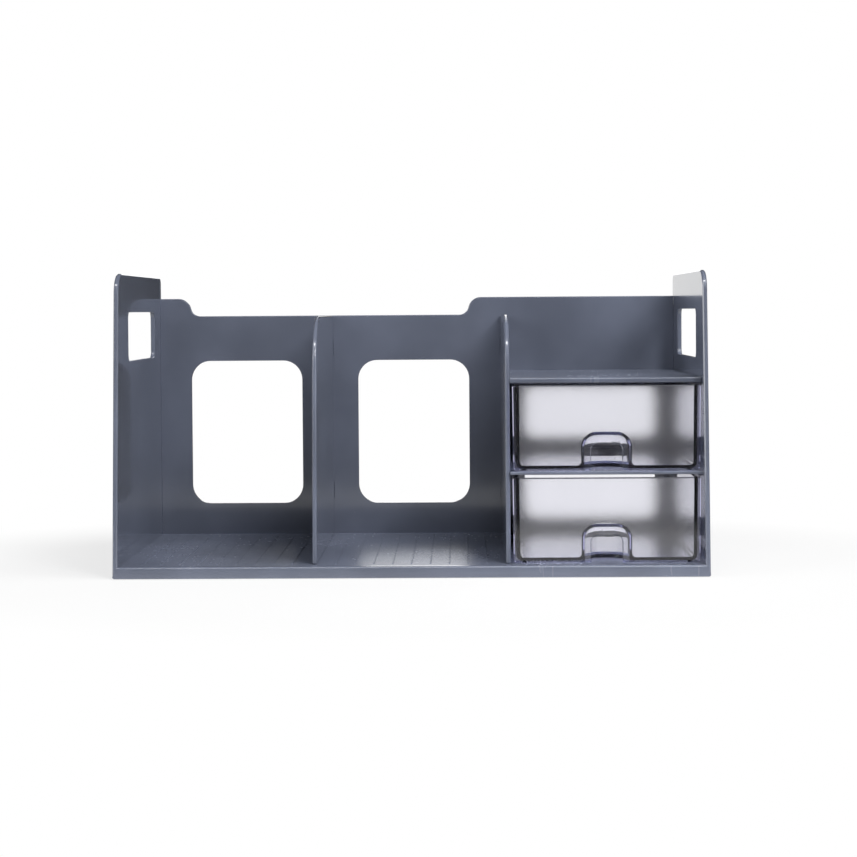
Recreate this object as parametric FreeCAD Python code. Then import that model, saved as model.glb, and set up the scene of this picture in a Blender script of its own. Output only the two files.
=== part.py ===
import FreeCAD, Part
import math
import os

# Desktop book rack with two clear drawers, moulded in separate pieces that plug together.
# Millimetres. X runs along the rack, Y from the front to the back, Z up.
# The origin is on the table, under the middle of the rack.

# Overall size
rack_width = 400.0
rack_depth = 175.0
rack_height = 205.2
front_lean = 4.2          # degrees that the front edges lean back from upright
foot_proud = 0.4          # how far the rubber feet stand below the skirt

# Walls
side_wall = 3.2
back_wall = 2.4
divider_wall = 3.0
floor_wall = 2.6
skirt_wall = 2.6
rear_skirt = 6.5
shelf_wall = 2.6
shelf_lip = 3.8
drawer_shelf_wall = 2.4

# Gaps between pieces that seat on each other
seat_gap = 0.1
slot_gap = 0.15
pocket_tab_depth = 1.4    # how far a tab goes into a blind pocket

# Floor
floor_height = 7.3
bead_height = 0.4
bead_width = 3.4
bead_radius = 1.6
heel_height = 1.6         # height of the floor's outer face under the side panel's mitre
heel_radius = 1.4
rib_count = 9
rib_pitch = 12.8
rib_width = 0.9
rib_height = 0.5
rib_front = 15.5          # from the front of the rack to the front ends of the ribs
rib_back = 5.0            # from the back ends of the ribs to the back panel
pocket_columns = 5
pocket_rows = 2
web = 1.6

# Side panels
side_front_radius = 14.0
side_back_radius = 5.0
edge_bevel = 0.8
hand_hole_length = 99.0
hand_hole_height = 34.0
hand_hole_radius = 5.0
hand_hole_front = 36.0    # from the front edge to the hole, at the hole's mid height
hand_hole_top = 26.3      # from the top edge down to the hole
hole_edge_bevel = 0.6
flange_wall = 1.9
flange_width = 7.0
flange_drop = 6.0         # from the back panel's shoulder down to the flange's top
lug_length = 14.0
lug_reach = 8.0
lug_wall = 2.2
lug_height = 2.2          # from the skirt's lower edge to the lug
lug_count = 4
lug_inset = 26.0          # from the ends of a side panel to the middles of its outer lugs

# Back panel
shoulder_drop = 16.3      # from the side panels' top down to the back panel's shoulders
step_drop = 13.4          # from the shoulders down to the low middle part
left_shoulder = 14.0      # flat top of the left shoulder
right_overhang = 16.0     # from the right divider to the left end of the raised part
step_run = 16.6
step_share = 0.57         # share of a step's drop that its upper, convex arc takes
back_edge_bevel = 0.6
book_window_width = 85.2
book_window_height = 109.8
book_window_radius = 14.6
book_window_rise = 23.6   # from the floor to the window's sill
left_window_shift = 1.3   # from the bay's middle, towards the right
middle_window_shift = -2.4
drawer_window_width = 99.8
drawer_window_height = 39.8
drawer_window_radius = 8.0
drawer_window_shift = 0.4
drawer_window_rise = 11.0 # from what the drawer stands on to the window's sill
back_lug_width = 4.0
back_lug_height = 12.0
back_lug_count = 3
back_lug_inset = 32.0     # from the ends of a flange to the middles of its outer slots
groove_depth = 3.0

# Dividers
divider_pitch = 131.0
divider_setback = 11.5
divider_nose_radius = 36.0
toe_radius = 1.2
tab_length = 12.0
tab_depth = 4.2
tab_chamfer = 0.8
divider_tab_inset = 40.0  # from the ends of the divider's foot to the middles of its tabs
divider_hook_low = 33.5   # from the floor to the middle of the lower tab at the back
divider_hook_high = 25.0  # from the divider's top to the middle of the upper tab
ledge_width = 2.0
ledge_height = 1.8
ledge_setback = 4.0

# Shelves
top_shelf_setback = 11.0
drawer_shelf_setback = 8.5
lip_depth = 4.5
lip_radius = 1.2
shelf_edge_radius = 0.9
shelf_tab_length = 16.0
shelf_tab_inset = 32.5    # from the bay's sides to the middles of a shelf's rear tabs

# Drawers
drawer_setback = 12.5     # from the front of the rack to the drawers' front faces
drawer_height = 56.2
drawer_wall = 2.4
drawer_floor = 2.2
drawer_plate = 2.4
plate_drop = 1.0          # how far the front plate reaches below the drawer's underside
plate_side_gap = 1.5
box_side_gap = 3.5
drawer_draft = 0.6        # degrees
drawer_back_gap = 3.0
plate_radius = 2.5
plate_edge_bevel = 0.7
box_radius = 4.0
box_inner_radius = 2.5
runner_height = 1.2
runner_gap = 0.05
rail_width = 4.0          # rails on the floor and the shelf, as high as the floor's bead
runner_width = 3.0
runner_inset = 5.2        # from the drawer's side, at the bottom, to the runner's middle
runner_back = 8.0
lower_headroom = 1.9
upper_headroom = 1.2
drawer_travel = 110.0
stop_height = 1.2
stop_width = 24.0
stop_depth = 4.0
stop_front = 14.0         # from the drawer's front face to the stop bump under it
stop_pitch = 60.0
stop_rest = 0.4
stop_rib_height = 1.4
stop_rib_width = 2.0

# Finger pull in the drawer's front
pull_width = 34.4
pull_height = 24.8
pull_radius = 10.0
pull_wall = 2.0
pull_flare = 1.8
notch_width = 21.0
notch_height = 17.1
notch_radius = 4.5
notch_edge_bevel = 0.6

# Rubber feet
foot_radius = 7.0
foot_height = 3.0
foot_socket_wall = 2.0
foot_inset_x = 24.0
foot_inset_y = 20.0

# Heights and planes that follow from the sizes above
half_width = rack_width / 2
inner_x = half_width - side_wall
front_y = -rack_depth / 2
back_y = rack_depth / 2
skirt_z = foot_proud
floor_z = skirt_z + floor_height
back_panel_rear = back_y - flange_wall - seat_gap
back_face = back_panel_rear - back_wall
shoulder_z = rack_height - shoulder_drop
bay_z = shoulder_z - step_drop
flange_z = shoulder_z - flange_drop
divider_x = divider_pitch / 2
bay_left = divider_x + divider_wall / 2
bay_centre = (bay_left + inner_x) / 2
half_bay = (inner_x - bay_left) / 2
draft = math.tan(math.radians(drawer_draft))
box_top_half = half_bay - box_side_gap
box_low_half = box_top_half - draft * drawer_height
runner_x = box_low_half - runner_inset
drawer_y = front_y + drawer_setback
drawer_rear = back_face - drawer_back_gap
runner_rise = bead_height + runner_height + runner_gap
drawer_shelf_under = floor_z + runner_rise + drawer_height + lower_headroom
drawer_shelf_z = drawer_shelf_under + drawer_shelf_wall
top_shelf_lip_under = drawer_shelf_z + runner_rise + drawer_height + upper_headroom
top_shelf_z = top_shelf_lip_under + shelf_lip
lean = math.tan(math.radians(front_lean))

UP = FreeCAD.Vector(0, 0, 1)
ALONG = FreeCAD.Vector(1, 0, 0)
BACK = FreeCAD.Vector(0, 1, 0)


def front_line(z, setback=0.0):
    """Y of the leaning front at height z, moved back by setback."""
    return front_y + setback + lean * (z - skirt_z)


def side_plane(x):
    """A function that puts (y, z) on the plane at x."""
    return lambda u, v: FreeCAD.Vector(x, u, v)


def front_plane(y):
    """A function that puts (x, z) on the plane at y."""
    return lambda u, v: FreeCAD.Vector(u, y, v)


def level_plane(z):
    """A function that puts (x, y) on the plane at z."""
    return lambda u, v: FreeCAD.Vector(u, v, z)


def unit(du, dv):
    length = math.hypot(du, dv)
    return du / length, dv / length


def rounded_wire(points, place):
    """Closed wire through (u, v, radius) points, each corner rounded by its radius."""
    count = len(points)
    starts = []
    ends = []
    middles = []
    for i, (u, v, radius) in enumerate(points):
        before = points[i - 1]
        after = points[(i + 1) % count]
        a = unit(before[0] - u, before[1] - v)
        b = unit(after[0] - u, after[1] - v)
        if radius <= 0:
            starts.append((u, v))
            ends.append((u, v))
            middles.append(None)
            continue
        half = math.acos(max(-1.0, min(1.0, a[0] * b[0] + a[1] * b[1]))) / 2
        run = radius / math.tan(half)
        inward = unit(a[0] + b[0], a[1] + b[1])
        reach = radius / math.sin(half) - radius
        starts.append((u + a[0] * run, v + a[1] * run))
        ends.append((u + b[0] * run, v + b[1] * run))
        middles.append((u + inward[0] * reach, v + inward[1] * reach))
    edges = []
    for i in range(count):
        if middles[i]:
            arc = Part.Arc(place(*starts[i]), place(*middles[i]), place(*ends[i]))
            edges.append(arc.toShape())
        a = place(*ends[i])
        b = place(*starts[(i + 1) % count])
        if a.distanceToPoint(b) > Part.Precision.approximation():
            edges.append(Part.LineSegment(a, b).toShape())
    return Part.Wire(edges)


def prism(points, place, direction):
    """Solid of a rounded outline pushed along direction."""
    return Part.Face(rounded_wire(points, place)).extrude(direction)


def rectangle(u0, v0, u1, v1, radius=0.0):
    return [(u0, v0, radius), (u1, v0, radius), (u1, v1, radius), (u0, v1, radius)]


def block(x0, x1, y0, y1, z0, z1):
    corner = FreeCAD.Vector(x0, y0, z0)
    return Part.makeBox(x1 - x0, y1 - y0, z1 - z0, corner)


def joined(shapes):
    """One solid of all the shapes, with no seams between them."""
    first = shapes[0]
    return first.fuse(shapes[1:]).removeSplitter()


def without(shape, tools):
    return shape.cut(tools).removeSplitter()


def edges_where(shape, test):
    """The edges of a shape whose middle passes the test."""
    return [edge for edge in shape.Edges if test(edge, edge.BoundBox)]


def bevelled(shape, size, test):
    """The shape with a bevel on the edges that pass the test."""
    return shape.makeChamfer(size, edges_where(shape, test))


def mirrored(shape):
    """The left-hand copy of a right-hand piece."""
    return shape.mirror(FreeCAD.Vector(0, 0, 0), ALONG)


def lies_at(low, high, value):
    """Whether a box's span is flat and at the value."""
    return abs(low - value) < seat_gap / 4 and abs(high - value) < seat_gap / 4


def spread(low, high, count):
    """Values at equal steps from low to high."""
    return [low + (high - low) * i / (count - 1) for i in range(count)]


def spans(middles, length):
    """(start, end) of pieces of one length about each middle."""
    return [(middle - length / 2, middle + length / 2) for middle in middles]


def lug_spans():
    """Y spans of the lugs that hold a side panel to the floor."""
    return spans(spread(front_y + lug_inset, back_y - lug_inset, lug_count), lug_length)


def back_lug_spans():
    """Z spans of the lugs that hold the back panel to the side panels' flanges."""
    middles = spread(floor_z + back_lug_inset, flange_z - back_lug_inset, back_lug_count)
    return spans(middles, back_lug_height)


def shelf_tab_spans():
    """X spans of the tabs at the back of each shelf."""
    return spans((bay_left + shelf_tab_inset, inner_x - shelf_tab_inset), shelf_tab_length)


def shelf_side_span(setback, z):
    """Y span of the tab at each end of a shelf."""
    middle = (front_line(z, setback) + back_face) / 2
    return spans([middle], shelf_tab_length)[0]


def divider_foot():
    """Y where a divider's front edge meets the floor."""
    return front_line(floor_z, divider_setback)


def divider_tab_spans():
    """Y spans of the tabs under a divider."""
    return spans((divider_foot() + divider_tab_inset, back_face - divider_tab_inset), tab_length)


def divider_hook_spans():
    """Z spans of the tabs at the back of a divider."""
    return spans((floor_z + divider_hook_low, bay_z - divider_hook_high), tab_length)


def foot_places():
    """Name and centre of each rubber foot."""
    x = half_width - foot_inset_x
    y = rack_depth / 2 - foot_inset_y
    return {
        "front_left_foot": (-x, -y),
        "front_right_foot": (x, -y),
        "rear_left_foot": (-x, y),
        "rear_right_foot": (x, y),
    }


def stop_bumps(z):
    """Two low ramps that a drawer's stop rib comes up against."""
    y0 = drawer_y + stop_front
    ramp = [(y0, z, 0), (y0 + stop_depth, z, 0), (y0 + stop_depth, z + stop_height, 0)]
    bumps = []
    for side in (-1, 1):
        x = bay_centre + side * stop_pitch / 2
        bumps.append(prism(ramp, side_plane(x - stop_width / 2), ALONG * stop_width))
    return bumps


def rails(y0, z):
    """Two low rails, from y0 to the back, that a drawer's runners slide on."""
    strips = []
    for side in (-1, 1):
        x = bay_centre + side * runner_x
        strips.append(block(x - rail_width / 2, x + rail_width / 2, y0, back_face - rib_back,
                            z, z + bead_height))
    return strips


def floor_ribs(centre):
    """Thin raised ribs from front to back across one book bay."""
    y0 = front_y + rib_front
    y1 = back_face - rib_back
    ribs = []
    for i in range(rib_count):
        x = centre + (i - (rib_count - 1) / 2) * rib_pitch
        top = rib_width / 2 - rib_height / 2
        low = rib_width / 2
        section = [(x - low, floor_z, 0), (x + low, floor_z, 0)]
        section += [(x + top, floor_z + rib_height, 0), (x - top, floor_z + rib_height, 0)]
        ribs.append(prism(section, front_plane(y0), BACK * (y1 - y0)))
    return ribs


def floor_pockets():
    """The hollows under the floor, between its stiffening webs."""
    x0 = -inner_x + skirt_wall
    x1 = inner_x - skirt_wall
    y0 = front_line(floor_z) + skirt_wall
    y1 = back_y - rear_skirt
    step_x = (x1 - x0 + web) / pocket_columns
    step_y = (y1 - y0 + web) / pocket_rows
    depth = floor_height - floor_wall
    pockets = []
    for i in range(pocket_columns):
        for j in range(pocket_rows):
            u = x0 + i * step_x
            v = y0 + j * step_y
            pockets.append(block(u, u + step_x - web, v, v + step_y - web,
                                 skirt_z, skirt_z + depth))
    return pockets


def bottom_panel():
    """Floor with a beaded front lip, mitred ends, ribs above and a hollow underside."""
    top = floor_z + bead_height
    section = [
        (-half_width, skirt_z, heel_radius),
        (half_width, skirt_z, heel_radius),
        (half_width, skirt_z + heel_height, 0),
        (inner_x, top, 0),
        (-inner_x, top, 0),
        (-half_width, skirt_z + heel_height, 0),
    ]
    across = prism(section, front_plane(front_y), BACK * rack_depth)
    bead_end = front_line(top) + bead_width
    profile = [
        (front_y, skirt_z, 0),
        (front_line(top), top, bead_radius),
        (bead_end, top, bead_height / 2),
        (bead_end + bead_height, floor_z, bead_height / 2),
        (back_y, floor_z, 0),
        (back_y, skirt_z, 0),
    ]
    along = prism(profile, side_plane(-half_width), ALONG * rack_width)
    panel = across.common(along)
    additions = floor_ribs(-bay_centre) + floor_ribs(0.0)
    additions += rails(bead_end - bead_height, floor_z) + stop_bumps(floor_z)
    panel = joined([panel] + additions)
    sockets = []
    holes = []
    outer = foot_radius + foot_socket_wall
    for x, y in foot_places().values():
        sockets.append(block(x - outer, x + outer, y - outer, y + outer,
                             skirt_z, floor_z - floor_wall / 2))
        centre = FreeCAD.Vector(x, y, skirt_z)
        depth = foot_height - foot_proud
        holes.append(Part.makeCylinder(foot_radius + seat_gap, depth, centre, UP))
    panel = panel.cut(floor_pockets())
    panel = joined([panel] + sockets)
    groove = block(-inner_x, inner_x, back_face - slot_gap, back_panel_rear + slot_gap,
                   floor_z - groove_depth, floor_z)
    cuts = holes + [groove]
    for side in (-1, 1):
        x = side * divider_x
        half = divider_wall / 2 + slot_gap
        for y0, y1 in divider_tab_spans():
            cuts.append(block(x - half, x + half, y0 - slot_gap, y1 + slot_gap, skirt_z, floor_z))
    z0 = skirt_z + lug_height
    for y0, y1 in lug_spans():
        for x0, x1 in ((-half_width, -inner_x + lug_reach), (inner_x - lug_reach, half_width)):
            cuts.append(block(x0, x1, y0 - slot_gap, y1 + slot_gap,
                              z0 - slot_gap, z0 + lug_wall + slot_gap))
    return without(panel, cuts)


def hand_hole():
    """Outline of the hand hole, as (y, z) points."""
    z1 = rack_height - hand_hole_top
    z0 = z1 - hand_hole_height
    y0 = front_line((z0 + z1) / 2, hand_hole_front)
    return rectangle(y0, z0, y0 + hand_hole_length, z1, hand_hole_radius)


def shelf_ledge(x0, x1, setback, under):
    """A thin ledge that a shelf's end rests on, behind the lip and the drawer's front."""
    lip_end = front_line(under, setback) + lip_depth + lip_radius
    y0 = max(lip_end, drawer_y + drawer_plate) + ledge_setback
    return block(x0, x1, y0, back_face, under - ledge_height, under)


def shelves():
    """Setback, top and thickness of each shelf."""
    return [
        (top_shelf_setback, top_shelf_z, shelf_wall),
        (drawer_shelf_setback, drawer_shelf_z, drawer_shelf_wall),
    ]


def side_panel(carries_shelves):
    """Side panel for the right-hand end, with ledges and pockets if it carries the shelves."""
    outline = [
        (front_y, skirt_z, 0),
        (front_line(rack_height), rack_height, side_front_radius),
        (back_y, rack_height, side_back_radius),
        (back_y, skirt_z, 0),
    ]
    plate = prism(outline, side_plane(inner_x), ALONG * side_wall)
    plate = bevelled(plate, edge_bevel,
                     lambda edge, box: box.XLength < edge_bevel and box.ZMax > floor_z)
    hole = prism(hand_hole(), side_plane(inner_x), ALONG * side_wall)
    plate = plate.cut(hole)
    hole_box = hole.BoundBox
    plate = bevelled(plate, hole_edge_bevel,
                     lambda edge, box: box.XLength < hole_edge_bevel
                     and hole_box.isInside(box.Center))
    top = floor_z + bead_height
    wedge = [
        (inner_x, skirt_z - heel_height, 0),
        (half_width + side_wall, skirt_z - heel_height, 0),
        (half_width + side_wall, skirt_z + heel_height, 0),
        (half_width, skirt_z + heel_height, 0),
        (inner_x, top, 0),
    ]
    mitre = prism(wedge, front_plane(front_y - side_wall), BACK * (rack_depth + 2 * side_wall))
    plate = plate.cut(mitre)
    flange = block(inner_x - flange_width, inner_x + side_wall / 2, back_y - flange_wall, back_y,
                   floor_z, flange_z)
    additions = [flange]
    z0 = skirt_z + lug_height
    for y0, y1 in lug_spans():
        additions.append(block(inner_x - lug_reach, half_width - heel_radius, y0, y1,
                               z0, z0 + lug_wall))
    pockets = []
    for setback, z, thickness in shelves() if carries_shelves else []:
        under = z - thickness
        additions.append(shelf_ledge(inner_x - ledge_width, inner_x, setback, under))
        y0, y1 = shelf_side_span(setback, z)
        pockets.append(block(inner_x, inner_x + pocket_tab_depth + slot_gap,
                             y0 - slot_gap, y1 + slot_gap, under - slot_gap, z + slot_gap))
    for low, high in back_lug_spans():
        x0 = inner_x - flange_width
        pockets.append(block(x0, x0 + back_lug_width + slot_gap, back_y - flange_wall, back_y,
                             low - slot_gap, high + slot_gap))
    return without(joined([plate] + additions), pockets)


def step_arcs(u, v, run, drop, share):
    """Two tangent arcs that go down by drop over run, convex first; run may be negative."""
    total = (run * run + drop * drop) / (2 * drop)
    upper = total * share
    lower = total - upper
    angle = math.asin(min(1.0, abs(run) / total))
    way = math.copysign(1.0, run)
    middle = (u + way * upper * math.sin(angle), v - upper * (1 - math.cos(angle)))
    half = angle / 2
    first = (u + way * upper * math.sin(half), v - upper * (1 - math.cos(half)))
    end = (u + run, v - drop)
    second = (end[0] - way * lower * math.sin(half), end[1] + lower * (1 - math.cos(half)))
    return [(u, v), first, middle], [middle, second, end]


def back_outline():
    """Outline of the back panel: a shoulder at the left, a raised part at the right."""
    edge = inner_x - seat_gap
    foot = floor_z - groove_depth + seat_gap
    left_top = -edge + left_shoulder
    right_top = divider_x - right_overhang
    place = front_plane(back_face)
    left_arcs = step_arcs(left_top, shoulder_z, step_run, step_drop, step_share)
    right_arcs = step_arcs(right_top, shoulder_z, -step_run, step_drop, step_share)
    corners = [
        (left_top, shoulder_z),
        (-edge, shoulder_z),
        (-edge, foot),
        (edge, foot),
        (edge, shoulder_z),
        (right_top, shoulder_z),
    ]
    edges = []
    for a, b in zip(corners, corners[1:]):
        edges.append(Part.LineSegment(place(*a), place(*b)).toShape())
    for points in right_arcs + left_arcs:
        edges.append(Part.Arc(*[place(*point) for point in points]).toShape())
    low_left = left_arcs[1][2]
    low_right = right_arcs[1][2]
    edges.append(Part.LineSegment(place(*low_right), place(*low_left)).toShape())
    return Part.Wire(Part.__sortEdges__(edges))


def back_windows():
    """The openings in the back panel, as prisms."""
    outlines = []
    half = book_window_width / 2
    sill = floor_z + book_window_rise
    for x in (left_window_shift - bay_centre, middle_window_shift):
        outlines.append(rectangle(x - half, sill, x + half, sill + book_window_height,
                                  book_window_radius))
    half = drawer_window_width / 2
    x = bay_centre + drawer_window_shift
    for stand in (floor_z, drawer_shelf_z):
        sill = stand + drawer_window_rise
        outlines.append(rectangle(x - half, sill, x + half, sill + drawer_window_height,
                                  drawer_window_radius))
    return [prism(outline, front_plane(back_face), BACK * back_wall) for outline in outlines]


def back_panel():
    """Flat back with windows, blind pockets for the tabs in front and lugs for the flanges."""
    panel = Part.Face(back_outline()).extrude(BACK * back_wall)
    panel = bevelled(panel, back_edge_bevel,
                     lambda edge, box: box.YLength < back_edge_bevel and box.ZMin > bay_z - seat_gap)
    panel = panel.cut(back_windows())
    lugs = []
    for low, high in back_lug_spans():
        for side in (-1, 1):
            outer = side * (inner_x - flange_width + back_lug_width)
            inner = side * (inner_x - flange_width + slot_gap)
            x0 = min(outer, inner)
            x1 = max(outer, inner)
            lugs.append(block(x0, x1, back_face + back_wall / 2, back_y, low, high))
    pockets = []
    pocket_end = back_face + pocket_tab_depth + slot_gap
    for side in (-1, 1):
        half = divider_wall / 2 + slot_gap
        for low, high in divider_hook_spans():
            pockets.append(block(side * divider_x - half, side * divider_x + half,
                                 back_face, pocket_end, low - slot_gap, high + slot_gap))
    for x0, x1 in shelf_tab_spans():
        for setback, z, thickness in shelves():
            pockets.append(block(x0 - slot_gap, x1 + slot_gap, back_face, pocket_end,
                                 z - thickness - slot_gap, z + slot_gap))
    return without(joined([panel] + lugs), pockets)


def chamfered_tab(x0, x1, y0, y1, z0, z1, low):
    """A tab below z1 whose ends are chamfered at z0."""
    profile = [(y0, z1, 0), (y1, z1, 0), (y1, z0 + low, 0), (y1 - low, z0, 0),
               (y0 + low, z0, 0), (y0, z0 + low, 0)]
    return prism(profile, side_plane(x0), ALONG * (x1 - x0))


def divider():
    """Upright between two bays, centred on x = 0, with a big rounded nose at the top."""
    outline = [
        (divider_foot(), floor_z, toe_radius),
        (front_line(bay_z, divider_setback), bay_z, divider_nose_radius),
        (back_face - seat_gap, bay_z, 0),
        (back_face - seat_gap, floor_z, 0),
    ]
    x0 = -divider_wall / 2
    plate = prism(outline, side_plane(x0), ALONG * divider_wall)
    plate = bevelled(plate, edge_bevel, lambda edge, box: box.XLength < edge_bevel
                     and box.ZMax > floor_z + toe_radius and box.YMin < back_face - edge_bevel)
    tabs = []
    for y0, y1 in divider_tab_spans():
        tabs.append(chamfered_tab(x0, -x0, y0, y1, floor_z - tab_depth, floor_z + toe_radius,
                                  tab_chamfer))
    for low, high in divider_hook_spans():
        tabs.append(block(x0, -x0, back_face - divider_wall, back_face + pocket_tab_depth,
                          low, high))
    return joined([plate] + tabs)


def left_divider():
    return divider().translated(ALONG * -divider_x)


def right_divider():
    """The divider beside the drawers, with ledges and blind pockets for the two shelves."""
    plate = divider().translated(ALONG * divider_x)
    ledges = []
    pockets = []
    for setback, z, thickness in shelves():
        under = z - thickness
        ledges.append(shelf_ledge(bay_left, bay_left + ledge_width, setback, under))
        y0, y1 = shelf_side_span(setback, z)
        pockets.append(block(bay_left - pocket_tab_depth - slot_gap, bay_left,
                             y0 - slot_gap, y1 + slot_gap, under - slot_gap, z + slot_gap))
    return without(joined([plate] + ledges), pockets)


def shelf_tabs(setback, z, thickness):
    """Tabs at the back and at both ends of a shelf."""
    under = z - thickness
    y0, y1 = shelf_side_span(setback, z)
    tabs = [
        block(bay_left - pocket_tab_depth, bay_left + side_wall, y0, y1, under, z),
        block(inner_x - side_wall, inner_x + pocket_tab_depth, y0, y1, under, z),
    ]
    for x0, x1 in shelf_tab_spans():
        tabs.append(block(x0, x1, back_face - divider_wall, back_face + pocket_tab_depth,
                          under, z))
    return tabs


def top_shelf():
    """Tray over the drawers, with a deeper rounded lip along its front."""
    front = front_line(top_shelf_z, top_shelf_setback)
    under = top_shelf_z - shelf_wall
    profile = [
        (front, top_shelf_z, lip_radius),
        (back_face - seat_gap, top_shelf_z, 0),
        (back_face - seat_gap, under, 0),
        (front + lip_depth + lip_radius, under, lip_radius / 2),
        (front + lip_depth, top_shelf_lip_under, lip_radius / 2),
        (front, top_shelf_lip_under, lip_radius),
    ]
    x0 = bay_left + seat_gap
    x1 = inner_x - seat_gap
    plate = prism(profile, side_plane(x0), ALONG * (x1 - x0))
    return joined([plate] + shelf_tabs(top_shelf_setback, top_shelf_z, shelf_wall))


def drawer_shelf():
    """Thin shelf under the upper drawer, with stop bumps on it."""
    front = front_line(drawer_shelf_z, drawer_shelf_setback)
    profile = [
        (front, drawer_shelf_z, shelf_edge_radius),
        (back_face - seat_gap, drawer_shelf_z, 0),
        (back_face - seat_gap, drawer_shelf_under, 0),
        (front, drawer_shelf_under, shelf_edge_radius),
    ]
    x0 = bay_left + seat_gap
    x1 = inner_x - seat_gap
    plate = prism(profile, side_plane(x0), ALONG * (x1 - x0))
    tabs = shelf_tabs(drawer_shelf_setback, drawer_shelf_z, drawer_shelf_wall)
    tabs += rails(front + shelf_edge_radius, drawer_shelf_z) + stop_bumps(drawer_shelf_z)
    return joined([plate] + tabs)


def arch(width, height, radius):
    """Outline of an arch that is open at the bottom, as (x, z) points about x = 0."""
    half = width / 2
    return [(-half, -drawer_floor, 0), (half, -drawer_floor, 0),
            (half, height, radius), (-half, height, radius)]


def half_turned(profile):
    """Solid of an (x, z) profile turned half a turn about the upright axis, towards the back."""
    face = Part.Face(rounded_wire(profile, front_plane(0.0)))
    return face.revolve(FreeCAD.Vector(0, 0, 0), UP, 180)


def finger_pull():
    """The shell of the finger pull that stands up inside the drawer, and the hollow in it."""
    outer = pull_width / 2
    shell = half_turned([
        (0, 0, 0),
        (outer + pull_flare, 0, 0),
        (outer + pull_flare, drawer_floor, 0),
        (outer, drawer_floor + pull_flare, 0),
        (outer, pull_height, pull_radius),
        (0, pull_height, 0),
    ])
    inner = outer - pull_wall
    hollow = half_turned([
        (0, -drawer_floor, 0),
        (inner, -drawer_floor, 0),
        (inner, pull_height - pull_wall, pull_radius - pull_wall),
        (0, pull_height - pull_wall, 0),
    ])
    return shell, hollow


def tub(half_low, half_high, y0, y1_low, y1_high, z0, z1, radius):
    """A block that widens upwards, rounded along its bottom edges and its rear corners."""
    across = [(-half_low, z0, radius), (half_low, z0, radius),
              (half_high, z1, 0), (-half_high, z1, 0)]
    along = [(y0, z0, 0), (y1_low, z0, radius), (y1_high, z1, 0), (y0, z1, 0)]
    plan = [(-half_high, y0, 0), (half_high, y0, 0),
            (half_high, y1_high, radius), (-half_high, y1_high, radius)]
    shape = prism(across, front_plane(y0), BACK * (y1_high - y0))
    shape = shape.common(prism(along, side_plane(-half_high), ALONG * (2 * half_high)))
    return shape.common(prism(plan, level_plane(z0), UP * (z1 - z0)))


def drawer_body():
    """One drawer with its front face on y = 0, its underside on z = 0 and its middle on x = 0."""
    rise = drawer_height
    rear = drawer_rear - drawer_y
    slope = draft * rise
    box = tub(box_low_half, box_top_half, drawer_plate / 2, rear - slope, rear,
              0.0, rise, box_radius)
    inner_slope = draft * (rise - drawer_floor)
    inner_half = box_top_half - drawer_wall
    inner_rear = rear - drawer_wall
    cavity = tub(inner_half - inner_slope, inner_half, drawer_plate,
                 inner_rear - inner_slope, inner_rear, drawer_floor, rise, box_inner_radius)
    plate_top = half_bay - plate_side_gap
    plate_low = plate_top - draft * (rise + plate_drop)
    outline = [(-plate_low, -plate_drop, plate_radius), (plate_low, -plate_drop, plate_radius),
               (plate_top, rise, plate_radius / 2), (-plate_top, rise, plate_radius / 2)]
    plate = prism(outline, front_plane(0.0), BACK * drawer_plate)
    plate = bevelled(plate, plate_edge_bevel, lambda edge, b: lies_at(b.YMin, b.YMax, 0.0))
    shell, hollow = finger_pull()
    body = box.fuse(plate).cut(cavity).fuse(shell)
    body = body.cut(hollow.common(block(-rack_width, rack_width, drawer_plate, rear, -rise, rise)))
    notch = prism(arch(notch_width, notch_height, notch_radius), front_plane(-drawer_plate),
                  BACK * (drawer_plate * 2))
    body = without(body, [notch])
    body = bevelled(body, notch_edge_bevel, lambda edge, b: lies_at(b.YMin, b.YMax, 0.0)
                    and abs(b.XMin) < notch_width and abs(b.XMax) < notch_width
                    and b.ZMin < notch_height + notch_radius and b.ZMax > plate_radius)
    ribs = []
    y1 = rear - runner_back
    for side in (-1, 1):
        x = side * runner_x
        ribs.append(chamfered_tab(x - runner_width / 2, x + runner_width / 2, plate_edge_bevel, y1,
                                  -runner_height, drawer_floor / 2, runner_height / 2))
    y0 = stop_front + stop_depth + drawer_travel + stop_rest
    x = (stop_pitch + stop_width) / 2
    ribs.append(block(-x, x, y0, y0 + stop_rib_width, -stop_rib_height, drawer_floor / 2))
    return joined([body] + ribs)


def drawer(stand):
    """A drawer whose runners stand at height stand."""
    place = FreeCAD.Vector(bay_centre, drawer_y, stand + runner_rise)
    return drawer_body().translated(place)


def rubber_foot(x, y):
    """Round rubber foot pressed into a socket under the floor."""
    return Part.makeCylinder(foot_radius, foot_height, FreeCAD.Vector(x, y, 0), UP)


def build():
    """All the pieces by name."""
    pieces = {
        "bottom_panel": bottom_panel(),
        "back_panel": back_panel(),
        "left_side_panel": mirrored(side_panel(False)),
        "right_side_panel": side_panel(True),
        "left_divider": left_divider(),
        "right_divider": right_divider(),
        "top_shelf": top_shelf(),
        "drawer_shelf": drawer_shelf(),
        "lower_drawer": drawer(floor_z),
        "upper_drawer": drawer(drawer_shelf_z),
    }
    for name, (x, y) in foot_places().items():
        pieces[name] = rubber_foot(x, y)
    return pieces


os.makedirs("parts", exist_ok=True)
for name, shape in build().items():
    solids = shape.Solids
    print(name, len(solids), "solid", "valid" if shape.isValid() else "NOT VALID", round(shape.Volume))
    solids[0].exportStep(os.path.join("parts", name + ".step"))
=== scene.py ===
import math

import bmesh
import bpy
from mathutils import Matrix, Vector


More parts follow.
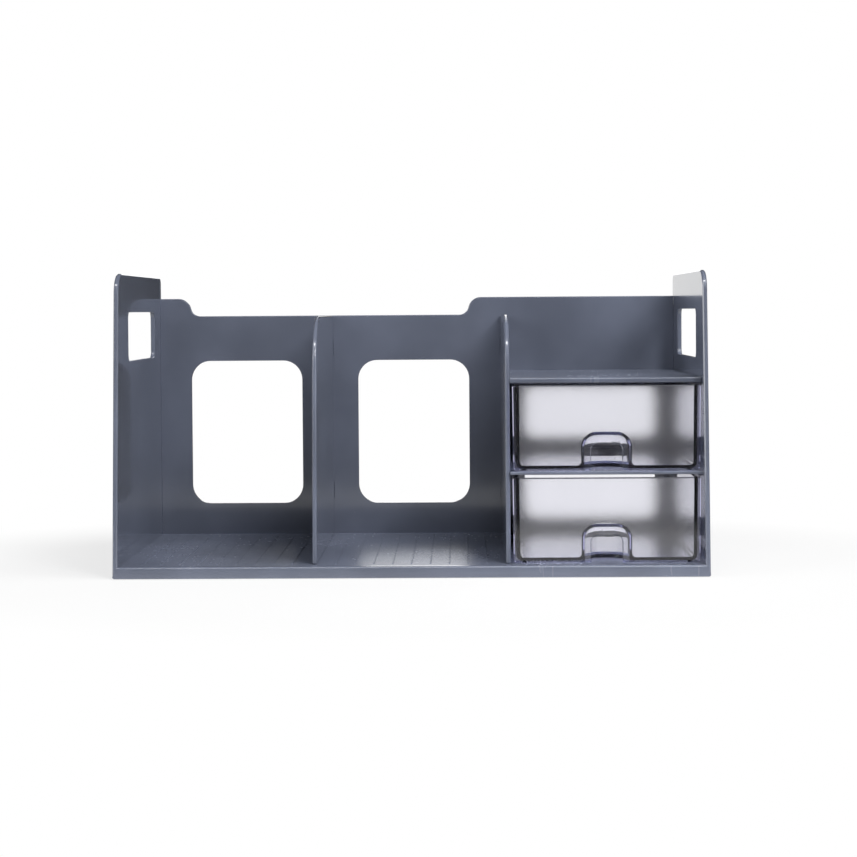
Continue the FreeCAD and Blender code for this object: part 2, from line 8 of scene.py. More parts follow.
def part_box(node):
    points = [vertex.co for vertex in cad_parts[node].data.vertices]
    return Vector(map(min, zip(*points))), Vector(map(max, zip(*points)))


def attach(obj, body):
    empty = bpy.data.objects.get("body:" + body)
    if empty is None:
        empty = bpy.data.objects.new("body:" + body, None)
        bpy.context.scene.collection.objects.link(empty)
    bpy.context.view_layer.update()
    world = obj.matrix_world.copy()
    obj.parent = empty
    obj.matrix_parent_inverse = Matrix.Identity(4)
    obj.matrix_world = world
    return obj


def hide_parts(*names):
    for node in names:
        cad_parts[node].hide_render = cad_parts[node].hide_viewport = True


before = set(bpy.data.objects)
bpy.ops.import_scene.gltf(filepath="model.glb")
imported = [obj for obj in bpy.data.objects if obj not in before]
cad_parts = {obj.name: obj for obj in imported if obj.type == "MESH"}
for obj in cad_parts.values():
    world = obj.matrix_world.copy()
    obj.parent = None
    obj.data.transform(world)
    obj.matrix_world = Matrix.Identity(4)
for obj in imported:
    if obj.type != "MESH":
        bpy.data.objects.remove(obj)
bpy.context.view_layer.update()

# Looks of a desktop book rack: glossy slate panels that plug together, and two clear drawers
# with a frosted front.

bl_info = {
    "name": "Book Rack with Drawers",
    "version": (1, 0, 0),
    "blender": (4, 5, 0),
    "location": "View3D > Sidebar > Book Rack",
    "description": "Builds the rack's moulded panels, its clear drawers, their finishes and a plain studio",
    "category": "Object",
}

MM = 0.001
UPRIGHTS = ("left_divider", "right_divider")
SHELVES = ("top_shelf", "drawer_shelf")
DRAWERS = ("upper_drawer", "lower_drawer")
FEET = ("front_left_foot", "front_right_foot", "rear_left_foot", "rear_right_foot")

# Moulded copies: points this near and faces this level are joined, and sharper edges are rounded.
MERGE_REACH = 0.001 * MM
FLAT_ANGLE = math.radians(0.4)
EDGE_ANGLE = math.radians(28)
EDGE_SEGMENTS = 3
DRAWER_EDGE = 0.25 * MM
FOOT_EDGE = 0.2 * MM

# How near to a face a point counts as lying on it.
FACE_REACH = 0.3 * MM

# Slate: shares of its colour, parts of its roughness, heights in its bump, and where gloss, dust and a
# painted highlight lie.
SLATE_IOR = 1.5
LIGHT_SHARE = 1.16
DARK_SHARE = 0.88
DUST_AND_HIGHLIGHT_SHARE = 2.6
CLOUD_RANGE = (0.3, 0.7)
SPECK_RANGE = (0.76, 0.81)
STREAK_STRETCH = (260.0, 260.0, 9.0)
SPECK_DUST = 0.05
# Painted highlight: share of the pale colour in the band along the back corner.
CORNER_HIGHLIGHT = 0.55
CORNER_DEPTH = 1.3 * MM
CLOUD_ROUGHNESS = 0.04
STREAK_ROUGHNESS = 0.06
SPECK_ROUGHNESS = 0.04
SINK_HEIGHT = 0.5
GRAIN_HEIGHT = 0.002
STREAK_HEIGHT = 0.003
SLATE_BUMP = 0.25 * MM
SHELVES_ABOVE = 30.0 * MM
FLOOR_LIP_BACK = -83.0 * MM
SHELF_LIP_BACK = -61.0 * MM

# Clear drawers: the plate in front, the finger pull, and where frost and wall tint lie.
CLEAR_IOR = 1.57
STOP_RIB_HEIGHT = 1.4 * MM
PLATE_WALL = 2.4 * MM
PULL_HALF = 17.2 * MM
PULL_ROUND = 10.0 * MM
PULL_HEIGHT = 24.8 * MM
FROST_HALF = 58.6 * MM
WALL_INSIDE = 58.0 * MM
WALL_OUTSIDE = 60.0 * MM
SLAB_TOP = 2.6 * MM
SLAB_BELOW = 3.0 * MM
CLEAR_ROUGHNESS = 0.01
FROST_VARIATION = 0.16
SCUFF_RANGE = (0.66, 0.8)
SCUFF_STRETCH = (90.0, 90.0, 400.0)
SCUFF_ROUGHNESS = 0.03
FROST_HEIGHT = 0.9
WAVE_HEIGHT = 0.25
FINE_BUMP = 0.06 * MM
HAZE_TINT = (0.9, 0.9, 0.92)
PASSING_TINT = (0.93, 0.93, 0.95)

# Rubber feet.
RUBBER_LIGHT_SHARE = 1.8
RUBBER_ROUGHNESS = 0.65
RUBBER_VARIATION = 0.2

# Floor: its reach, and the oval round the rack in which it keeps the shadow.
FLOOR_HALF_WIDTH = 0.7
FLOOR_HALF_DEPTH = 0.525
FLOOR_MIDDLE_Y = -0.12
FLOOR_GREY = (0.8, 0.8, 0.8)
FLOOR_GLOW = 0.88
FLOOR_SHADE = 0.2
SHADOW_HALF_X = 0.36
SHADOW_HALF_Y = 0.24
SHADOW_MIDDLE_Y = -0.02
SHADOW_FADE = (0.75, 1.25)
MIRROR_FRONT_FADE = (-0.4, -0.25)
MIRROR_BACK_FADE = (0.09, 0.12)

# Surroundings: where they count as behind the rack, and the soft edges of the two white cards.
WHITE = (1.0, 1.0, 1.0)
BEHIND_FADE = (0.3, 0.7)
LEAST_AHEAD = 0.05
CARD_LEFT_SOFTNESS = 0.01
CARD_RIGHT_SOFTNESS = 0.03
HIGH_CARD_FOOT = (0.07, 0.11)
LOW_CARD_TOP = (0.05, 0.08)

# Each lamp's place and size in metres, and the rays that it is hidden from. RackStudio has its power.
LAMP_TARGET = (0.0, 0.0, 0.1)
LAMPS = {
    "key": ((0.85, -1.35, 1.15), (0.5, 0.5), ()),
    "over": ((0.5, -0.25, 1.6), (0.8, 0.8), ("glossy", "transmission")),
    "right": ((1.4, -0.65, 0.7), (0.4, 1.2), ()),
    "fill": ((-1.4, -0.9, 0.7), (0.7, 0.9), ()),
    "left": ((-1.4, -0.2, 0.6), (0.4, 1.2), ()),
    "front": ((0.1, -1.0, 1.5), (1.4, 0.18), ()),
    "rear": ((-0.25, 1.4, 0.35), (1.2, 0.4), ("camera", "glossy", "transmission")),
}

# Camera: its lens and shift were measured in pixels of a picture of this width.
PICTURE_WIDTH = 857
FOCAL_PIXELS = 1671.271
SHIFT_PIXELS = (-13.916, -77.596)
SENSOR_WIDTH = 36.0


def srgb(red, green, blue):
    """A colour given as screen values of 0 to 255, as linear light."""
    def linear(value):
        value /= 255
        return value / 12.92 if value <= 0.04045 else ((value + 0.055) / 1.055) ** 2.4
    return linear(red), linear(green), linear(blue)


class RackFinish(bpy.types.PropertyGroup):
    """Colours and surface of the moulded pieces."""

    slate: bpy.props.FloatVectorProperty(
        name="Slate", description="Colour of the panels, dividers and shelves",
        subtype="COLOR", size=3, min=0, max=1, default=srgb(88, 93, 107))
    panel_roughness: bpy.props.FloatProperty(
        name="Panel roughness", description="How soft the reflections in the panels are",
        subtype="FACTOR", min=0, max=1, default=0.24)
    ledge_roughness: bpy.props.FloatProperty(
        name="Ledge roughness", description="How soft the reflections in the floor and the shelves are",
        subtype="FACTOR", min=0, max=1, default=0.26)
    gloss: bpy.props.FloatProperty(
        name="Gloss", description="Strength of the sharp reflection on top of the soft one",
        subtype="FACTOR", min=0, max=1, default=1.0)
    gloss_roughness: bpy.props.FloatProperty(
        name="Gloss roughness", description="How soft the sharp reflection is",
        subtype="FACTOR", min=0, max=1, default=0.09)
    clear_tint: bpy.props.FloatVectorProperty(
        name="Clear tint", description="Colour that the clear drawers give to light that passes through",
        subtype="COLOR", size=3, min=0, max=1, default=(0.98, 0.98, 0.995))
    wall_tint: bpy.props.FloatVectorProperty(
        name="Wall tint", description="Colour of the drawers' side walls",
        subtype="COLOR", size=3, min=0, max=1, default=(0.88, 0.88, 0.99))
    frost_tint: bpy.props.FloatVectorProperty(
        name="Frost tint", description="Colour of the frosted face",
        subtype="COLOR", size=3, min=0, max=1, default=(0.985, 0.985, 0.99))
    clearness: bpy.props.FloatProperty(
        name="Clearness", description="Share of the light that the clear plastic lets through",
        subtype="FACTOR", min=0, max=1, default=0.99)
    clear_depth: bpy.props.FloatVectorProperty(
        name="Clear depth", description="Colour of the clear plastic where light runs along a wall",
        subtype="COLOR", size=3, min=0, max=1, default=(0.1, 0.1, 0.55))
    clear_density: bpy.props.FloatProperty(
        name="Clear density", description="How soon light takes that colour inside the plastic, per metre",
        min=0, max=500, default=22)
    frost: bpy.props.FloatProperty(
        name="Frost", description="Roughness of the frosted middle of a drawer's front",
        subtype="FACTOR", min=0, max=1, default=0.18)
    frost_haze: bpy.props.FloatProperty(
        name="Frost haze", description="Share of white haze in the frosted face",
        subtype="FACTOR", min=0, max=1, default=0.02)
    rubber: bpy.props.FloatVectorProperty(
        name="Rubber", description="Colour of the feet",
        subtype="COLOR", size=3, min=0, max=1, default=(0.022, 0.022, 0.024))
    edge_round: bpy.props.FloatProperty(
        name="Edge rounding", description="Width of the soft rounding on the moulded edges",
        subtype="DISTANCE", unit="LENGTH", min=0, max=0.002, default=0.5 * MM)


class RackStudio(bpy.types.PropertyGroup):
    """Light and camera."""

    ambient: bpy.props.FloatProperty(
        name="Ambient", description="Light that comes evenly from all round",
        min=0, max=5, default=0.03)
    dim: bpy.props.FloatProperty(
        name="Dim", description="How bright the room in front looks in reflections",
        min=0, max=1, default=0.03)
    card_left: bpy.props.FloatProperty(
        name="Card left", description="Slope to the side at which the high white card starts",
        min=-2, max=2, default=-0.075)
    card_right: bpy.props.FloatProperty(
        name="Card right", description="Slope to the side at which the high white card ends",
        min=-2, max=2, default=0.05)
    card_strength: bpy.props.FloatProperty(
        name="Card strength", description="How bright the high card is in reflections",
        min=0, max=10, default=1.8)
    key: bpy.props.FloatProperty(
        name="Key", description="Power of the lamp in front, high at the right",
        unit="POWER", min=0, max=500, default=18)
    over: bpy.props.FloatProperty(
        name="Over", description="Power of the lamp overhead at the right",
        unit="POWER", min=0, max=500, default=22)
    right: bpy.props.FloatProperty(
        name="Right", description="Power of the lamp at the right",
        unit="POWER", min=0, max=500, default=8)
    fill: bpy.props.FloatProperty(
        name="Fill", description="Power of the lamp in front at the left",
        unit="POWER", min=0, max=500, default=13)
    left: bpy.props.FloatProperty(
        name="Left", description="Power of the lamp at the left",
        unit="POWER", min=0, max=500, default=6)
    front: bpy.props.FloatProperty(
        name="Front", description="Power of the lamp high in front",
        unit="POWER", min=0, max=500, default=12)
    rear: bpy.props.FloatProperty(
        name="Rear", description="Power of the lamp low behind, which lights the back",
        unit="POWER", min=0, max=500, default=9)
    camera_place: bpy.props.FloatVectorProperty(
        name="Camera place", description="Where the camera stands",
        subtype="TRANSLATION", size=3, default=(35.887 * MM, -1198.797 * MM, 178.679 * MM))
    camera_turn: bpy.props.FloatVectorProperty(
        name="Camera turn", description="Turn to the side, tilt and roll of the camera",
        subtype="EULER", size=3, default=(-0.01253, -0.02412, -0.00654))
    camera_focal: bpy.props.FloatProperty(
        name="Focal length", description="In picture widths",
        min=0.1, max=10, default=FOCAL_PIXELS / PICTURE_WIDTH)
    camera_shift: bpy.props.FloatVectorProperty(
        name="Camera shift", description="Shift of the lens, in picture widths",
        size=2, default=[pixels / PICTURE_WIDTH for pixels in SHIFT_PIXELS])


class Wire:
    """A number that runs through a material. Arithmetic on it adds Math nodes."""

    def __init__(self, shader, socket):
        self.shader = shader
        self.socket = socket

    def math(self, operation, *values, clamp=False):
        """The result of a Math node on these values."""
        settings = {"operation": operation, "use_clamp": clamp}
        node = self.shader.node("ShaderNodeMath", settings, dict(enumerate(values)))
        return Wire(self.shader, node.outputs[0])

    def __add__(self, other):
        return self.math("ADD", self, other)

    def __radd__(self, other):
        return self.math("ADD", other, self)

    def __sub__(self, other):
        return self.math("SUBTRACT", self, other)

    def __rsub__(self, other):
        return self.math("SUBTRACT", other, self)

    def __mul__(self, other):
        return self.math("MULTIPLY", self, other)

    def __rmul__(self, other):
        return self.math("MULTIPLY", other, self)

    def __truediv__(self, other):
        return self.math("DIVIDE", self, other)

    def __abs__(self):
        return self.math("ABSOLUTE", self)

    def power(self, other):
        return self.math("POWER", self, other)

    def above(self, other):
        return self.math("GREATER_THAN", self, other)

    def below(self, other):
        return self.math("LESS_THAN", self, other)

    def at_least(self, least):
        return self.math("MAXIMUM", self, least)

    def clamped(self):
        """The number kept between 0 and 1."""
        return self.math("ADD", self, 0.0, clamp=True)

    def ramp(self, low, high):
        """0 below low, 1 above high, smooth between."""
        node = self.shader.node(
            "ShaderNodeMapRange", {"interpolation_type": "SMOOTHSTEP", "clamp": True},
            {"Value": self, "From Min": low, "From Max": high, "To Min": 0.0, "To Max": 1.0})
        return Wire(self.shader, node.outputs["Result"])


class Shader:
    """One material, or a world, and the nodes in it."""

    def __init__(self, name, world=None):
        self.material = world or bpy.data.materials.new(name)
        self.material.use_nodes = True
        self.tree = self.material.node_tree
        self.tree.nodes.clear()

    def node(self, kind, settings=None, inputs=None):
        """A node of this kind, with its settings and then its inputs filled in."""
        made = self.tree.nodes.new(kind)
        for key, value in (settings or {}).items():
            setattr(made, key, value)
        for key, value in (inputs or {}).items():
            self.fill_socket(made.inputs[key], value)
        return made

    def fill_socket(self, socket, value):
        """Links a wire or a socket, or sets a value. A colour of three numbers is made opaque."""
        if isinstance(value, Wire):
            value = value.socket
        if isinstance(value, bpy.types.NodeSocket):
            self.tree.links.new(value, socket)
        elif socket.type == "RGBA" and len(value) == 3:
            socket.default_value = (*value, 1.0)
        else:
            socket.default_value = value

    def wire(self, socket):
        return Wire(self, socket)

    def place(self, kind="Object"):
        """Object coordinates, or for a world the direction, as a vector socket and as three numbers."""
        vector = self.node("ShaderNodeTexCoord").outputs[kind]
        split = self.node("ShaderNodeSeparateXYZ", None, {"Vector": vector})
        return vector, [self.wire(split.outputs[axis]) for axis in "XYZ"]

    def scaled(self, vector, scale):
        """The vector stretched by a number for each axis."""
        node = self.node("ShaderNodeVectorMath", {"operation": "MULTIPLY"}, {0: vector, 1: scale})
        return node.outputs["Vector"]

    def noise(self, vector, scale, detail=2.0, roughness=0.5):
        """A noise of about 0 to 1, with this many waves in a metre."""
        node = self.node("ShaderNodeTexNoise", {"noise_dimensions": "3D"},
                         {"Vector": vector, "Scale": scale, "Detail": detail, "Roughness": roughness})
        return self.wire(node.outputs["Fac"])

    def mixed(self, factor, first, second):
        """Colour between first and second."""
        node = self.node("ShaderNodeMix", {"data_type": "RGBA", "blend_type": "MIX"})
        self.fill_socket(node.inputs["Factor"], factor)
        colours = [socket for socket in node.inputs if socket.type == "RGBA"]
        self.fill_socket(colours[0], first)
        self.fill_socket(colours[1], second)
        return [socket for socket in node.outputs if socket.type == "RGBA"][0]

    def bump(self, height, distance):
        node = self.node("ShaderNodeBump", None, {"Strength": 1.0, "Distance": distance, "Height": height})
        return node.outputs["Normal"]

    def principled(self, **inputs):
        """A Principled shader with these inputs."""
        shader = self.node("ShaderNodeBsdfPrincipled")
        for key, value in inputs.items():
            self.fill_socket(shader.inputs[key.replace("_", " ")], value)
        return shader.outputs[0]

    def blended(self, factor, first, second):
        """A share of the second shader over the first."""
        mix = self.node("ShaderNodeMixShader")
        self.fill_socket(mix.inputs[0], factor)
        self.tree.links.new(first, mix.inputs[1])
        self.tree.links.new(second, mix.inputs[2])
        return mix.outputs[0]

    def finish(self, surface, inside=None):
        """Ends the material in this surface, with a volume node inside it if there is one."""
        output = self.node("ShaderNodeOutputMaterial", None, {"Surface": surface})
        if inside:
            self.tree.links.new(inside.outputs[0], output.inputs["Volume"])
        return self.material


def shade(colour, share):
    """The colour made lighter or darker by a share."""
    return tuple(channel * share for channel in colour)


def moulded_slate(name, finish, softness, gloss=0.0, glossy_lip=False, highlit_corner=False):
    """Glossy moulded slate: faint sinks, fine scuffs and dust over an even colour, and if asked a painted
    highlight along the corner at the back.
    """
    shader = Shader(name)
    vector, (_, y, z) = shader.place()
    clouds = shader.noise(vector, scale=14.0, detail=3.0)
    streaks = shader.noise(shader.scaled(vector, STREAK_STRETCH), scale=1.0)
    grain = shader.noise(vector, scale=2600.0)
    specks = shader.noise(vector, scale=900.0, detail=1.0).ramp(*SPECK_RANGE)
    sinks = shader.noise(vector, scale=9.0, detail=1.0)
    dark = shade(finish.slate, DARK_SHARE)
    light = shade(finish.slate, LIGHT_SHARE)
    tone = shader.mixed(clouds.ramp(*CLOUD_RANGE), dark, light)
    if glossy_lip:
        lip_back = FLOOR_LIP_BACK + z.above(SHELVES_ABOVE) * (SHELF_LIP_BACK - FLOOR_LIP_BACK)
        gloss = y.below(lip_back) * finish.gloss
    dust_and_highlight = specks * SPECK_DUST
    if highlit_corner:
        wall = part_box("back_panel")[0].y
        # Painted highlight: a pale band just in front of the back panel stands for light caught by the edge
        # where each piece meets it.
        corner = y.above(wall - CORNER_DEPTH) * y.below(wall + FACE_REACH)
        dust_and_highlight = (dust_and_highlight + corner * CORNER_HIGHLIGHT).clamped()
    # Speck dust, and where asked the painted highlight, mixed over the tone in one pale colour.
    dusty_and_highlit = shader.mixed(dust_and_highlight, tone, shade(finish.slate, DUST_AND_HIGHLIGHT_SHARE))
    roughness = softness + (clouds - 0.5) * CLOUD_ROUGHNESS + (streaks - 0.5) * STREAK_ROUGHNESS
    roughness = roughness + specks * SPECK_ROUGHNESS
    height = sinks * SINK_HEIGHT + grain * GRAIN_HEIGHT + streaks * STREAK_HEIGHT
    return shader.finish(shader.principled(
        Base_Color=dusty_and_highlit, Roughness=roughness.clamped(), IOR=SLATE_IOR, Coat_Weight=gloss,
        Coat_Roughness=finish.gloss_roughness, Coat_IOR=SLATE_IOR, Normal=shader.bump(height, SLATE_BUMP)))


def slate_plastic(finish):
    """Slate of the back panel, with a sharp gloss on top."""
    return moulded_slate("slate_moulded_plastic", finish, finish.panel_roughness, finish.gloss)


def upright_plastic(finish):
    """Slate of the side panels and dividers, with a painted highlight along the corner at the back."""
    return moulded_slate(
        "slate_upright_plastic", finish, finish.panel_roughness, finish.gloss, highlit_corner=True)


def ledge_plastic(finish):
    """Slate of the level pieces: glossy on the lip, softer behind it, with a painted highlight along the
    corner at the back.
    """
    return moulded_slate(
        "slate_ledge_plastic", finish, finish.ledge_roughness, glossy_lip=True, highlit_corner=True)


def clear_plastic(finish):
    """Clear drawer plastic, frosted on the inner face of the front up to the finger pull."""
    shader = Shader("drawer_clear_plastic")
    vector, (x, y, z) = shader.place()
    low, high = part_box("upper_drawer")
    centre = (low.x + high.x) / 2
    across = abs(x - centre)
    inner_face = abs(y - (low.y + PLATE_WALL)).below(FACE_REACH)
    # The pull is an arch: its outline is a rectangle with rounded upper corners.
    pull = 0.0
    wall = across.ramp(WALL_INSIDE, WALL_OUTSIDE)
    side = (across - (PULL_HALF - PULL_ROUND)).at_least(0.0)
    for name in DRAWERS:
        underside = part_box(name)[0].z + STOP_RIB_HEIGHT
        rise = (z - (underside + PULL_HEIGHT - PULL_ROUND)).at_least(0.0)
        arch = (side * side + rise * rise).power(0.5).below(PULL_ROUND)
        above = z.above(underside - SLAB_BELOW)
        pull = pull + arch * above
        wall = wall + z.below(underside + SLAB_TOP) * above
    frosted = (inner_face * across.below(FROST_HALF) * (1.0 - pull)).clamped()
    grain = shader.noise(vector, scale=1300.0, detail=3.0, roughness=0.7)
    scuffs = shader.noise(shader.scaled(vector, SCUFF_STRETCH), scale=1.0, detail=3.0)
    waves = shader.noise(vector, scale=22.0, detail=1.0)
    roughness = CLEAR_ROUGHNESS + frosted * (finish.frost + (grain - 0.5) * FROST_VARIATION)
    roughness = roughness + scuffs.ramp(*SCUFF_RANGE) * SCUFF_ROUGHNESS
    height = grain * frosted * FROST_HEIGHT + waves * WAVE_HEIGHT
    clear = shader.mixed(wall.clamped(), finish.clear_tint, finish.wall_tint)
    veil = shader.mixed(frosted, clear, finish.frost_tint)
    glass = shader.principled(
        Base_Color=veil, Roughness=roughness.clamped(), IOR=CLEAR_IOR,
        Transmission_Weight=finish.clearness, Normal=shader.bump(height, FINE_BUMP))
    haze = shader.node("ShaderNodeBsdfDiffuse", None, {"Color": HAZE_TINT})
    body = shader.blended(frosted * finish.frost_haze, glass, haze.outputs[0])
    # Light from the lamps passes through, so that what stands behind the plastic is lit.
    passing = shader.node("ShaderNodeBsdfTransparent", None, {"Color": PASSING_TINT})
    shadow = shader.wire(shader.node("ShaderNodeLightPath").outputs["Is Shadow Ray"])
    depth = shader.node("ShaderNodeVolumeAbsorption", None,
                        {"Color": finish.clear_depth, "Density": finish.clear_density})
    return shader.finish(shader.blended(shadow, body, passing.outputs[0]), depth)


def foot_rubber(finish):
    """Matte black rubber with a fine grain."""
    shader = Shader("black_rubber")
    grain = shader.noise(shader.place()[0], scale=1800.0, detail=3.0)
    tone = shader.mixed(grain, finish.rubber, shade(finish.rubber, RUBBER_LIGHT_SHARE))
    roughness = grain * RUBBER_VARIATION + RUBBER_ROUGHNESS
    return shader.finish(shader.principled(
        Base_Color=tone, Roughness=roughness, Normal=shader.bump(grain, FINE_BUMP)))


PANELS = {
    "bottom_panel": ledge_plastic,
    "back_panel": slate_plastic,
    "left_side_panel": upright_plastic,
    "right_side_panel": upright_plastic,
}
MADE = {}


def material(maker):
    """The material that a maker builds, built on first use."""
    if maker not in MADE:
        MADE[maker] = maker(bpy.context.scene.rack_finish)
    return MADE[maker]


def moulded_copy(node, body, finish_material, width):
    """A copy of a CAD node with its edges softly rounded; it stands for the node."""
    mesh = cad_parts[node].data.copy()
    mesh.materials.clear()
    mesh.name = "moulded_" + node
    shape = bmesh.new()
    shape.from_mesh(mesh)
    bmesh.ops.remove_doubles(shape, verts=shape.verts, dist=MERGE_REACH)
    bmesh.ops.dissolve_limit(shape, angle_limit=FLAT_ANGLE, verts=shape.verts, edges=shape.edges,
                             use_dissolve_boundaries=False)
    bmesh.ops.recalc_face_normals(shape, faces=shape.faces)
    for face in shape.faces:
        face.smooth = True
    shape.to_mesh(mesh)
    shape.free()
    mesh.materials.append(finish_material)
    piece = bpy.data.objects.new("moulded_" + node, mesh)
    bpy.context.scene.collection.objects.link(piece)
    bevel = piece.modifiers.new("edge_rounding", "BEVEL")
    bevel.width = width
    bevel.segments = EDGE_SEGMENTS
    bevel.limit_method = "ANGLE"
    bevel.angle_limit = EDGE_ANGLE
    bevel.profile = 0.5
    bevel.use_clamp_overlap = True
    bevel.loop_slide = True
    flat = piece.modifiers.new("flat_faces", "WEIGHTED_NORMAL")
    flat.mode = "FACE_AREA"
    flat.weight = 100
    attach(piece, body)
    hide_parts(node)


class RACK_OT_panels(bpy.types.Operator):
    """Makes the bottom, back and side panels"""

    bl_idname = "rack.panels"
    bl_label = "Panels"

    def execute(self, context):
        finish = context.scene.rack_finish
        for node in PANELS:
            moulded_copy(node, "rack", material(PANELS[node]), finish.edge_round)
        return {"FINISHED"}


class RACK_OT_uprights(bpy.types.Operator):
    """Makes the two dividers"""

    bl_idname = "rack.uprights"
    bl_label = "Dividers"

    def execute(self, context):
        finish = context.scene.rack_finish
        for node in UPRIGHTS:
            moulded_copy(node, "rack", material(upright_plastic), finish.edge_round)
        return {"FINISHED"}


class RACK_OT_shelves(bpy.types.Operator):
    """Makes the tray over the drawers and the shelf between them"""

    bl_idname = "rack.shelves"
    bl_label = "Shelves"

    def execute(self, context):
        finish = context.scene.rack_finish
        for node in SHELVES:
            moulded_copy(node, "rack", material(ledge_plastic), finish.edge_round)
        return {"FINISHED"}


class RACK_OT_drawers(bpy.types.Operator):
    """Makes the two clear drawers"""

    bl_idname = "rack.drawers"
    bl_label = "Drawers"

    def execute(self, context):
        for node in DRAWERS:
            moulded_copy(node, node, material(clear_plastic), DRAWER_EDGE)
        return {"FINISHED"}


class RACK_OT_feet(bpy.types.Operator):
    """Makes the four rubber feet"""

    bl_idname = "rack.feet"
    bl_label = "Feet"

    def execute(self, context):
        for node in FEET:
            moulded_copy(node, "rack", material(foot_rubber), FOOT_EDGE)
        return {"FINISHED"}


def lamp(name, place, size, power, hidden_from):
    """A rectangular lamp that faces the rack and doesn't show to some kinds of rays."""
    data = bpy.data.lights.new(name, "AREA")
    data.shape = "RECTANGLE"
    data.size, data.size_y = size
    data.energy = power
    holder = bpy.data.objects.new(name, data)
    bpy.context.scene.collection.objects.link(holder)
    holder.location = place
    holder.rotation_mode = "QUATERNION"
    holder.rotation_quaternion = (Vector(LAMP_TARGET) - Vector(place)).to_track_quat("-Z", "Y")
    for rays in hidden_from:
        setattr(holder, "visible_" + rays, False)


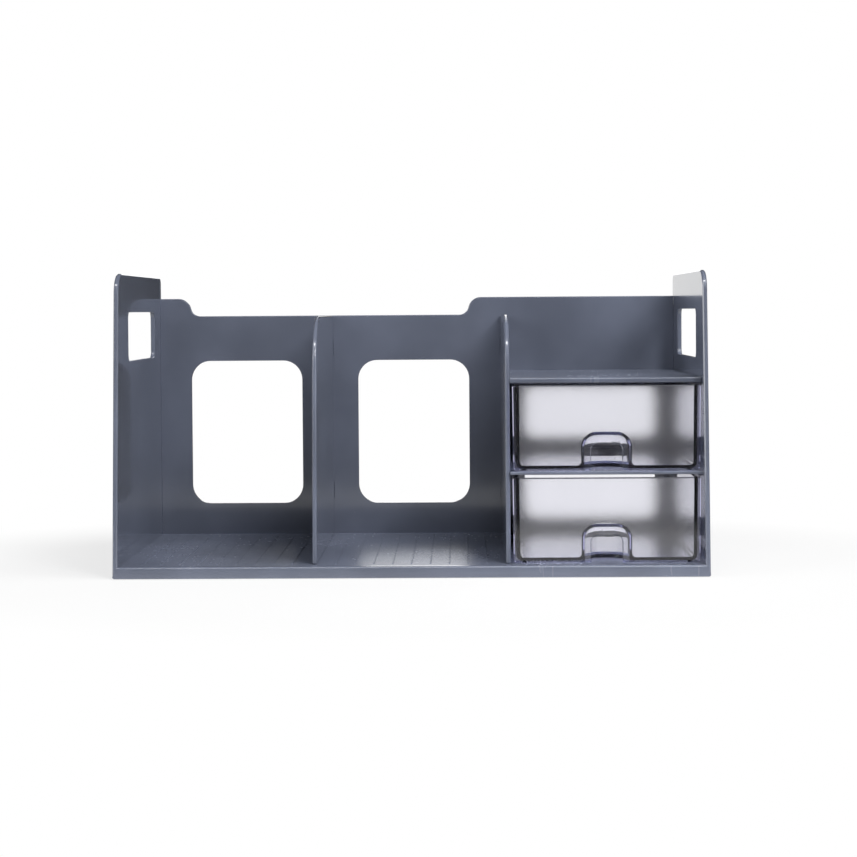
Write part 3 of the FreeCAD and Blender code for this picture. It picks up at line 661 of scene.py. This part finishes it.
class RACK_OT_studio(bpy.types.Operator):
    """Makes the floor, the light and the camera"""

    bl_idname = "rack.studio"
    bl_label = "Studio"

    def floor(self, studio):
        """A pale floor that keeps a soft shadow near the rack and is plain white further off."""
        shape = bmesh.new()
        reach = Matrix.Diagonal((FLOOR_HALF_WIDTH, FLOOR_HALF_DEPTH, 1.0, 1.0))
        bmesh.ops.create_grid(shape, x_segments=1, y_segments=1, size=1.0,
                              matrix=Matrix.Translation((0.0, FLOOR_MIDDLE_Y, 0.0)) @ reach)
        mesh = bpy.data.meshes.new("studio_floor")
        shape.to_mesh(mesh)
        shape.free()
        shader = Shader("studio_floor")
        path = shader.node("ShaderNodeLightPath")
        through = shader.wire(path.outputs["Is Transmission Ray"])
        plain = (shader.wire(path.outputs["Is Camera Ray"]) + through).clamped()
        mirrored = shader.wire(path.outputs["Is Glossy Ray"]) * (1.0 - plain)
        x, y, _ = shader.place()[1]
        oval_x = x / SHADOW_HALF_X
        oval_y = (y - SHADOW_MIDDLE_Y) / SHADOW_HALF_Y
        away = (oval_x * oval_x + oval_y * oval_y).power(0.5).ramp(*SHADOW_FADE)
        # In reflections the floor is pale only under the rack and close in front of it.
        close = y.ramp(*MIRROR_FRONT_FADE) * (1.0 - y.ramp(*MIRROR_BACK_FADE))
        level = FLOOR_GLOW + away * (1.0 - FLOOR_GLOW)
        strength = level * (plain + mirrored * (close * (1.0 - studio.dim) + studio.dim))
        diffuse = shader.node("ShaderNodeBsdfDiffuse", None, {"Color": FLOOR_GREY})
        glow = shader.node("ShaderNodeEmission", None, {"Color": WHITE, "Strength": strength})
        glowing = (plain + mirrored) * (1.0 - FLOOR_SHADE + away * FLOOR_SHADE)
        shader.finish(shader.blended(glowing, diffuse.outputs[0], glow.outputs[0]))
        mesh.materials.append(shader.material)
        floor = bpy.data.objects.new("studio_floor", mesh)
        bpy.context.scene.collection.objects.link(floor)

    def world(self, studio):
        """White for the camera and behind the drawers, two cards for reflections, and dim for the rest."""
        world = bpy.data.worlds.new("studio_world")
        bpy.context.scene.world = world
        shader = Shader("studio_world", world)
        path = shader.node("ShaderNodeLightPath")
        camera = shader.wire(path.outputs["Is Camera Ray"])
        through = shader.wire(path.outputs["Is Transmission Ray"])
        mirrored = shader.wire(path.outputs["Is Glossy Ray"]) * (1.0 - through)
        x, y, z = shader.place("Generated")[1]
        behind = y.ramp(*BEHIND_FADE)
        ahead = y.at_least(LEAST_AHEAD)
        side = x / ahead
        slope = z / ahead
        # Reflections see two white cards behind the rack: a high one in the middle and a low one at the left.
        left = 1.0 - side.ramp(studio.card_left - CARD_LEFT_SOFTNESS, studio.card_left + CARD_LEFT_SOFTNESS)
        past = side.ramp(studio.card_right - CARD_RIGHT_SOFTNESS, studio.card_right + CARD_RIGHT_SOFTNESS)
        high_card = (1.0 - left) * (1.0 - past) * slope.ramp(*HIGH_CARD_FOOT)
        low_card = left * (1.0 - slope.ramp(*LOW_CARD_TOP))
        cards = high_card * studio.card_strength + low_card
        view = behind * (through + mirrored * cards)
        seen = (through + mirrored).clamped()
        strength = camera + view * (1.0 - studio.dim) + seen * studio.dim
        strength = strength + (1.0 - camera) * (1.0 - seen) * studio.ambient
        background = shader.node("ShaderNodeBackground", None, {"Color": WHITE, "Strength": strength})
        shader.node("ShaderNodeOutputWorld", None, {"Surface": background.outputs[0]})

    def camera(self, studio):
        """The camera at the photo's viewing angle. Without any turn it faces the rack from the front."""
        yaw, pitch, roll = studio.camera_turn
        ahead = Vector((math.sin(yaw), math.cos(yaw), 0.0))
        forward = math.cos(pitch) * ahead + math.sin(pitch) * Vector((0.0, 0.0, 1.0))
        level = Vector((math.cos(yaw), -math.sin(yaw), 0.0))
        upright = level.cross(forward)
        right = math.cos(roll) * level + math.sin(roll) * upright
        up = math.cos(roll) * upright - math.sin(roll) * level
        data = bpy.data.cameras.new("camera")
        data.sensor_width = SENSOR_WIDTH
        data.lens = SENSOR_WIDTH * studio.camera_focal
        data.shift_x, data.shift_y = studio.camera_shift
        data.clip_start = 0.01
        data.clip_end = 100.0
        holder = bpy.data.objects.new("camera", data)
        bpy.context.scene.collection.objects.link(holder)
        turn = Matrix((right, up, -forward)).transposed().to_4x4()
        holder.matrix_world = Matrix.Translation(studio.camera_place) @ turn
        bpy.context.scene.camera = holder

    def execute(self, context):
        studio = context.scene.rack_studio
        context.scene.view_settings.view_transform = "Standard"
        self.floor(studio)
        self.world(studio)
        for name, (place, size, hidden_from) in LAMPS.items():
            lamp(name + "_lamp", place, size, getattr(studio, name), hidden_from)
        self.camera(studio)
        return {"FINISHED"}


class RACK_PT_sidebar(bpy.types.Panel):
    """Sizes, colours and steps of the book rack"""

    bl_idname = "RACK_PT_sidebar"
    bl_label = "Book Rack"
    bl_space_type = "VIEW_3D"
    bl_region_type = "UI"
    bl_category = "Book Rack"

    def draw(self, context):
        layout = self.layout
        for step in STEPS:
            layout.operator(step.bl_idname)
        for group in (context.scene.rack_finish, context.scene.rack_studio):
            column = layout.column()
            for key in group.bl_rna.properties.keys():
                if key not in ("rna_type", "name"):
                    column.prop(group, key)


STEPS = (RACK_OT_panels, RACK_OT_uprights, RACK_OT_shelves, RACK_OT_drawers, RACK_OT_feet, RACK_OT_studio)
CLASSES = (RackFinish, RackStudio, *STEPS, RACK_PT_sidebar)


def register():
    for item in CLASSES:
        bpy.utils.register_class(item)
    bpy.types.Scene.rack_finish = bpy.props.PointerProperty(type=RackFinish)
    bpy.types.Scene.rack_studio = bpy.props.PointerProperty(type=RackStudio)


def unregister():
    del bpy.types.Scene.rack_finish
    del bpy.types.Scene.rack_studio
    for item in reversed(CLASSES):
        bpy.utils.unregister_class(item)


def main():
    """Builds everything in order."""
    register()
    bpy.ops.rack.panels()
    bpy.ops.rack.uprights()
    bpy.ops.rack.shelves()
    bpy.ops.rack.drawers()
    bpy.ops.rack.feet()
    bpy.ops.rack.studio()
    bpy.context.view_layer.update()


if __name__ == "__main__":
    main()
